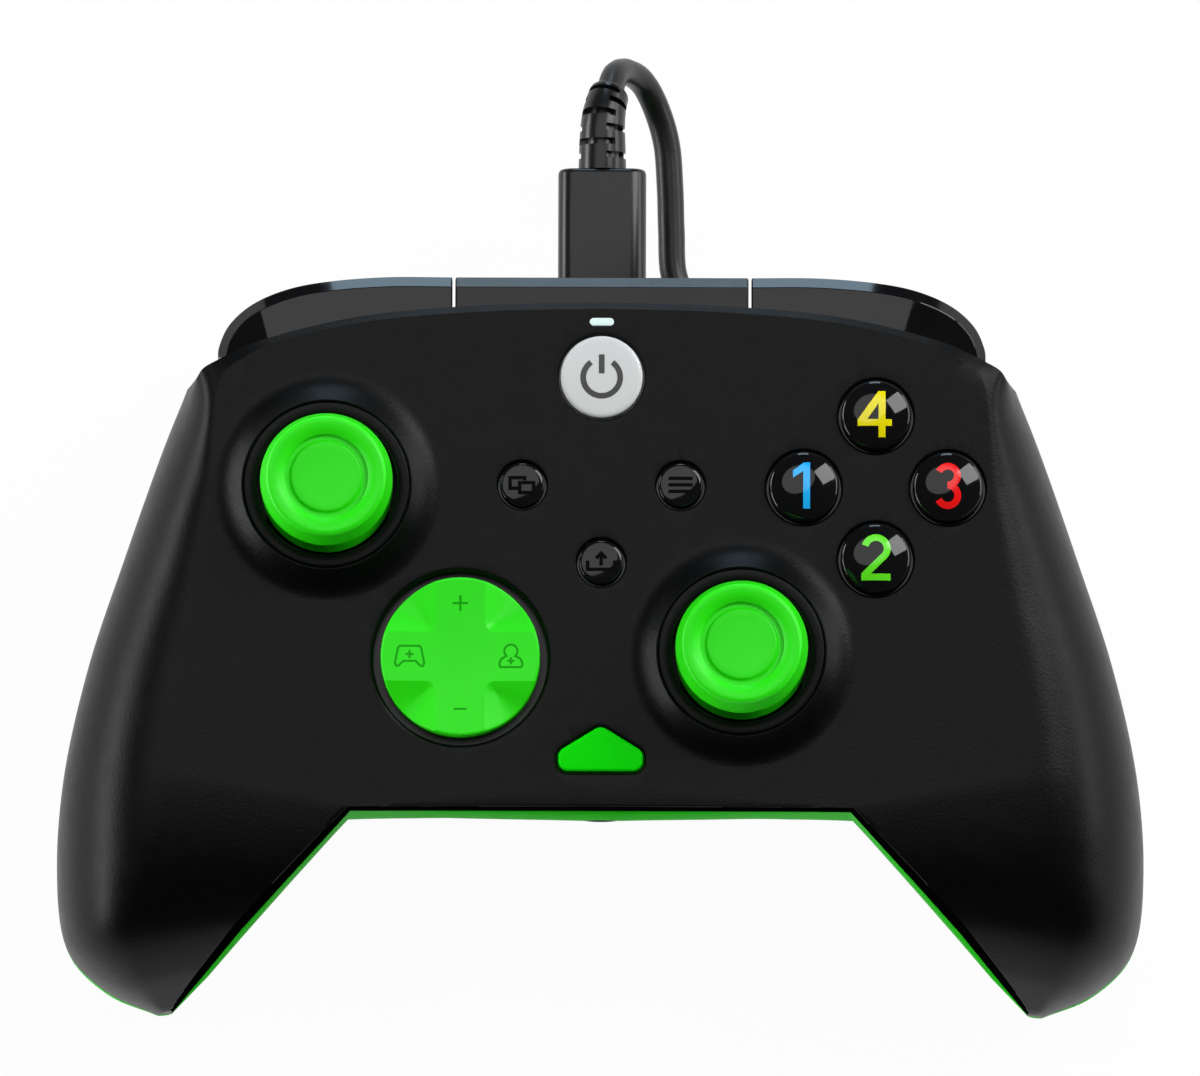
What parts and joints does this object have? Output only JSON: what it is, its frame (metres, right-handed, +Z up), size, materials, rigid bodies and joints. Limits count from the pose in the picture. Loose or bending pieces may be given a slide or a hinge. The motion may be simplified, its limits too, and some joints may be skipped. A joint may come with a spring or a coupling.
{
  "type": "gamepad controller",
  "caption": "Wired two-grip gamepad with offset sticks, round direction pad, domed face buttons, bumpers, hooked triggers and a plugged-in USB cable wound up underneath.",
  "frame": {"origin": "on the floor under the middle of the controller's box, without its cable", "axes": "+X to the user's right, +Y from the user towards the bumpers, +Z up out of the face"},
  "size_m": [0.153, 0.1354, 0.06],
  "materials": {
    "black_shell": "fine matte moulded black plastic",
    "green_shell": "satin bright green plastic",
    "satin_black": "satin black plastic",
    "gloss_black": "polished black plastic",
    "green_control": "satin bright green plastic",
    "home_grey": "satin light grey plastic",
    "light_lens": "clear pale lens",
    "board": "green solder mask",
    "pad_rubber": "soft silicone",
    "steel": "plated steel",
    "inner_plastic": "moulded black plastic",
    "cable": "smooth black cable jacket"
  },
  "bodies": {
    "root": {"front_shell": "black_shell", "rear_shell": "green_shell", "top_bridge": "satin_black", "left_stick_ring": "gloss_black", "right_stick_ring": "gloss_black", "main_board": "board", "face_pad": "pad_rubber", "centre_pad": "pad_rubber", "dpad_pad": "pad_rubber", "left_stick_base": "steel", "right_stick_base": "steel", "left_rumble_motor": "steel", "right_rumble_motor": "steel", "usb_socket": "steel", "headset_jack": "gloss_black", "status_light": "light_lens", "shell_screws": "steel", "board_screws": "steel", "left_trigger_frame": "inner_plastic", "right_trigger_frame": "inner_plastic", "left_trigger_pin": "steel", "right_trigger_pin": "steel", "left_trigger_spring": "steel", "right_trigger_spring": "steel", "bumper_pins": "steel", "bumper_switches": "inner_plastic", "usb_plug": "satin_black", "plug_relief": "satin_black", "cable_run": "cable", "cable_coil": "cable", "cable_tail": "cable", "far_plug": "satin_black", "cable_tie": "cable"},
    "left_trigger": {"left_trigger": "gloss_black"},
    "left_bumper": {"left_bumper": "gloss_black"},
    "left_stick_gimbal": {"left_stick_gimbal": "inner_plastic"},
    "left_stick_sleeve": {"left_stick_sleeve": "inner_plastic"},
    "left_stick": {"left_stick_post": "inner_plastic", "left_stick_cap": "green_control"},
    "left_rumble_weight": {"left_rumble_weight": "steel"},
    "right_trigger": {"right_trigger": "gloss_black"},
    "right_bumper": {"right_bumper": "gloss_black"},
    "right_stick_gimbal": {"right_stick_gimbal": "inner_plastic"},
    "right_stick_sleeve": {"right_stick_sleeve": "inner_plastic"},
    "right_stick": {"right_stick_post": "inner_plastic", "right_stick_cap": "green_control"},
    "right_rumble_weight": {"right_rumble_weight": "steel"},
    "dpad_rocker": {"dpad_rocker": "inner_plastic"},
    "dpad": {"dpad": "green_control"},
    "top_button": {"top_button": "gloss_black"},
    "left_button": {"left_button": "gloss_black"},
    "right_button": {"right_button": "gloss_black"},
    "bottom_button": {"bottom_button": "gloss_black"},
    "home_button": {"home_button": "home_grey"},
    "view_button": {"view_button": "gloss_black"},
    "menu_button": {"menu_button": "gloss_black"},
    "share_button": {"share_button": "gloss_black"},
    "function_button": {"function_button": "green_control"}
  },
  "joints": [
    {"name": "left_trigger_pull", "type": "hinge", "parent": "root", "child": "left_trigger", "pos_m": [-0.039, 0.0375, 0.027], "axis": [-1, 0, 0], "range_deg": [0, 16], "stiffness_Nm_per_rad": 0.1},
    {"name": "left_bumper_press", "type": "hinge", "parent": "root", "child": "left_bumper", "pos_m": [-0.024, 0.0455, 0.037], "axis": [0, 0, 1], "range_deg": [0, 2.5], "stiffness_Nm_per_rad": 1},
    {"name": "left_stick_tilt_y", "type": "hinge", "parent": "root", "child": "left_stick_gimbal", "pos_m": [-0.0385, 0.0208, 0.0375], "axis": [1, 0, 0], "range_deg": [-14, 14], "stiffness_Nm_per_rad": 0.04},
    {"name": "left_stick_tilt_x", "type": "hinge", "parent": "left_stick_gimbal", "child": "left_stick_sleeve", "pos_m": [-0.0385, 0.0208, 0.0375], "axis": [0, 1, 0], "range_deg": [-14, 14], "stiffness_Nm_per_rad": 0.04},
    {"name": "left_stick_click", "type": "slide", "parent": "left_stick_sleeve", "child": "left_stick", "axis": [0, 0, -1], "range_m": [0, 0.0004], "stiffness_N_per_m": 7000},
    {"name": "left_rumble_spin", "type": "hinge", "parent": "root", "child": "left_rumble_weight", "pos_m": [-0.058, -0.011, 0.018], "axis": [0, 1, 0], "continuous": true},
    {"name": "right_trigger_pull", "type": "hinge", "parent": "root", "child": "right_trigger", "pos_m": [0.039, 0.0375, 0.027], "axis": [-1, 0, 0], "range_deg": [0, 16], "stiffness_Nm_per_rad": 0.1},
    {"name": "right_bumper_press", "type": "hinge", "parent": "root", "child": "right_bumper", "pos_m": [0.024, 0.0455, 0.037], "axis": [0, 0, -1], "range_deg": [0, 2.5], "stiffness_Nm_per_rad": 1},
    {"name": "right_stick_tilt_y", "type": "hinge", "parent": "root", "child": "right_stick_gimbal", "pos_m": [0.0197, -0.0026, 0.0375], "axis": [1, 0, 0], "range_deg": [-14, 14], "stiffness_Nm_per_rad": 0.04},
    {"name": "right_stick_tilt_x", "type": "hinge", "parent": "right_stick_gimbal", "child": "right_stick_sleeve", "pos_m": [0.0197, -0.0026, 0.0375], "axis": [0, 1, 0], "range_deg": [-14, 14], "stiffness_Nm_per_rad": 0.04},
    {"name": "right_stick_click", "type": "slide", "parent": "right_stick_sleeve", "child": "right_stick", "axis": [0, 0, -1], "range_m": [0, 0.0004], "stiffness_N_per_m": 7000},
    {"name": "right_rumble_spin", "type": "hinge", "parent": "root", "child": "right_rumble_weight", "pos_m": [0.058, -0.011, 0.018], "axis": [0, 1, 0], "continuous": true},
    {"name": "dpad_tilt_y", "type": "hinge", "parent": "root", "child": "dpad_rocker", "pos_m": [-0.0197, -0.0034, 0.041], "axis": [1, 0, 0], "range_deg": [-4.5, 4.5], "stiffness_Nm_per_rad": 0.1, "deforming": ["dpad_pad"]},
    {"name": "dpad_tilt_x", "type": "hinge", "parent": "dpad_rocker", "child": "dpad", "pos_m": [-0.0197, -0.0034, 0.041], "axis": [0, 1, 0], "range_deg": [-4.5, 4.5], "stiffness_Nm_per_rad": 0.1, "deforming": ["dpad_pad"]},
    {"name": "top_button_press", "type": "slide", "parent": "root", "child": "top_button", "axis": [0, 0, -1], "range_m": [0, 0.0015], "stiffness_N_per_m": 500, "deforming": ["face_pad"]},
    {"name": "left_button_press", "type": "slide", "parent": "root", "child": "left_button", "axis": [0, 0, -1], "range_m": [0, 0.0015], "stiffness_N_per_m": 500, "deforming": ["face_pad"]},
    {"name": "right_button_press", "type": "slide", "parent": "root", "child": "right_button", "axis": [0, 0, -1], "range_m": [0, 0.0015], "stiffness_N_per_m": 500, "deforming": ["face_pad"]},
    {"name": "bottom_button_press", "type": "slide", "parent": "root", "child": "bottom_button", "axis": [0, 0, -1], "range_m": [0, 0.0015], "stiffness_N_per_m": 500, "deforming": ["face_pad"]},
    {"name": "home_button_press", "type": "slide", "parent": "root", "child": "home_button", "axis": [0, 0, -1], "range_m": [0, 0.0007], "stiffness_N_per_m": 900, "deforming": ["centre_pad"]},
    {"name": "view_button_press", "type": "slide", "parent": "root", "child": "view_button", "axis": [0, 0, -1], "range_m": [0, 0.0007], "stiffness_N_per_m": 900, "deforming": ["centre_pad"]},
    {"name": "menu_button_press", "type": "slide", "parent": "root", "child": "menu_button", "axis": [0, 0, -1], "range_m": [0, 0.0007], "stiffness_N_per_m": 900, "deforming": ["centre_pad"]},
    {"name": "share_button_press", "type": "slide", "parent": "root", "child": "share_button", "axis": [0, 0, -1], "range_m": [0, 0.0007], "stiffness_N_per_m": 900, "deforming": ["centre_pad"]},
    {"name": "function_button_press", "type": "slide", "parent": "root", "child": "function_button", "axis": [0, 0, -1], "range_m": [0, 0.0007], "stiffness_N_per_m": 900, "deforming": ["centre_pad"]}
  ]
}
